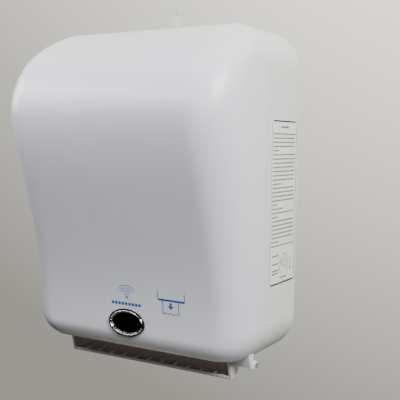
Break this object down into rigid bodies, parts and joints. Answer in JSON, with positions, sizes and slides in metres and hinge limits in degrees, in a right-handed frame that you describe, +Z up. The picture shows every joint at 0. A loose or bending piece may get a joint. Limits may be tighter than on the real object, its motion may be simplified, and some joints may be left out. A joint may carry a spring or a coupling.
{
  "type": "paper towel dispenser",
  "caption": "Wall-mounted touch-free paper towel dispenser: tray, hinged bulging cover, sensor window, ribbed chute with tear bar, geared feed rollers, roll holder and battery box.",
  "frame": {"origin": "centre of the four wall screw holes, on the back plane of the tray, at mid height", "axes": "X to the right seen from the front, Y into the wall, Z up"},
  "size_m": [0.3003, 0.192, 0.4308],
  "materials": {
    "cover_white": "satin gloss",
    "tray_white": "satin",
    "chute_white": "satin",
    "dark_plastic": "matte",
    "grey_plastic": "matte",
    "steel": "brushed",
    "chrome": "polished",
    "window_black": "gloss",
    "label_paper": "matte",
    "key_clear": "gloss, translucent",
    "rubber": "matte",
    "nylon": "matte",
    "brass": "turned",
    "board_green": "satin",
    "cell_wrap": "gloss",
    "panel_grey": "satin",
    "button_blue": "gloss",
    "lamp_green": "gloss",
    "paper": "matte",
    "cardboard": "matte"
  },
  "bodies": {
    "base": {"rear_housing": "tray_white", "hinge_pins": "steel", "paper_chute": "chute_white", "chute_guide": "dark_plastic", "tear_bar": "steel", "tear_bar_screws": "steel", "chute_screws": "steel", "sensor_bar": "grey_plastic", "sensor_board": "board_green", "sensor_eyes": "window_black", "side_label": "label_paper", "chassis_left": "grey_plastic", "chassis_right": "grey_plastic", "chassis_spine": "grey_plastic", "spine_screws": "steel", "plate_screws": "steel", "shaft_bushings": "brass", "idler_pin": "steel", "motor": "steel", "gear_cover": "grey_plastic", "gear_cover_screws": "steel", "pinch_pivots": "steel", "roll_arm_left": "grey_plastic", "roll_hub_left": "panel_grey", "arm_bracket": "grey_plastic", "arm_pin": "steel", "arm_spring": "steel", "arm_screws": "steel", "battery_box": "grey_plastic", "batteries": "cell_wrap", "battery_contacts": "steel", "control_box": "grey_plastic", "control_board": "board_green", "control_panel": "panel_grey", "panel_screws": "steel", "status_lamp": "lamp_green"},
    "cover": {"front_cover": "cover_white", "sensor_bezel": "chrome", "sensor_window": "window_black"},
    "lock": {"lock_barrel": "chrome", "lock_cam": "steel", "cam_screw": "steel", "service_key": "key_clear"},
    "feed": {"feed_shaft": "steel", "feed_drum": "dark_plastic", "feed_sleeves": "rubber", "roller_gear": "nylon"},
    "idler": {"idler_gear": "nylon"},
    "pinion": {"motor_pinion": "brass"},
    "pinch": {"pinch_frame": "grey_plastic", "pinch_springs": "steel"},
    "pinch_roll": {"pinch_shaft": "steel", "pinch_rollers": "rubber"},
    "roll": {"paper_roll": "paper", "roll_core": "cardboard"},
    "arm": {"roll_arm_right": "grey_plastic", "roll_hub_right": "panel_grey"},
    "lid": {"battery_lid": "grey_plastic"},
    "button": {"feed_button": "button_blue"},
    "slider": {"length_slider": "dark_plastic"}
  },
  "joints": [
    {"name": "cover_hinge", "type": "hinge", "parent": "base", "child": "cover", "pos_m": [0, -0.078, -0.191], "axis": [1, 0, 0], "range_deg": [0, 95]},
    {"name": "lock_turn", "type": "hinge", "parent": "base", "child": "lock", "pos_m": [0, -0.032, 0.185], "axis": [0, 0, 1], "range_deg": [0, 90]},
    {"name": "feed_spin", "type": "hinge", "parent": "base", "child": "feed", "pos_m": [0, -0.076, -0.131], "axis": [1, 0, 0], "continuous": true},
    {"name": "idler_spin", "type": "hinge", "parent": "base", "child": "idler", "pos_m": [-0.1175, -0.05013, -0.12029], "axis": [1, 0, 0], "continuous": true},
    {"name": "pinion_spin", "type": "hinge", "parent": "base", "child": "pinion", "pos_m": [-0.1175, -0.036, -0.133], "axis": [1, 0, 0], "continuous": true},
    {"name": "pinch_open", "type": "hinge", "parent": "base", "child": "pinch", "pos_m": [0, -0.104, -0.109], "axis": [-1, 0, 0], "range_deg": [0, 12], "stiffness_Nm_per_rad": 1.2, "springref_deg": -14.32},
    {"name": "pinch_spin", "type": "hinge", "parent": "pinch", "child": "pinch_roll", "pos_m": [0, -0.0953, -0.14], "axis": [1, 0, 0], "continuous": true},
    {"name": "roll_spin", "type": "hinge", "parent": "base", "child": "roll", "pos_m": [0, -0.105, 0.09047], "axis": [1, 0, 0], "continuous": true},
    {"name": "arm_swing", "type": "hinge", "parent": "base", "child": "arm", "pos_m": [0.113, -0.015, 0.095], "axis": [0, 0, 1], "range_deg": [0, 12], "stiffness_Nm_per_rad": 1, "springref_deg": -17.19},
    {"name": "lid_slide", "type": "slide", "parent": "base", "child": "lid", "axis": [-1, 0, 0], "range_m": [0, 0.04]},
    {"name": "button_press", "type": "slide", "parent": "base", "child": "button", "axis": [0, 1, 0], "range_m": [0, 0.0015], "stiffness_N_per_m": 500, "springref_m": -0.002},
    {"name": "length_set", "type": "slide", "parent": "base", "child": "slider", "axis": [1, 0, 0], "range_m": [-0.005, 0.005]}
  ],
  "couplings": [
    {"joint": "idler_spin", "follows": "feed_spin", "ratio": -1.3333},
    {"joint": "pinion_spin", "follows": "feed_spin", "ratio": 2.2857},
    {"joint": "pinch_spin", "follows": "feed_spin", "ratio": -1.625},
    {"joint": "roll_spin", "follows": "feed_spin", "ratio": 0.20968}
  ]
}
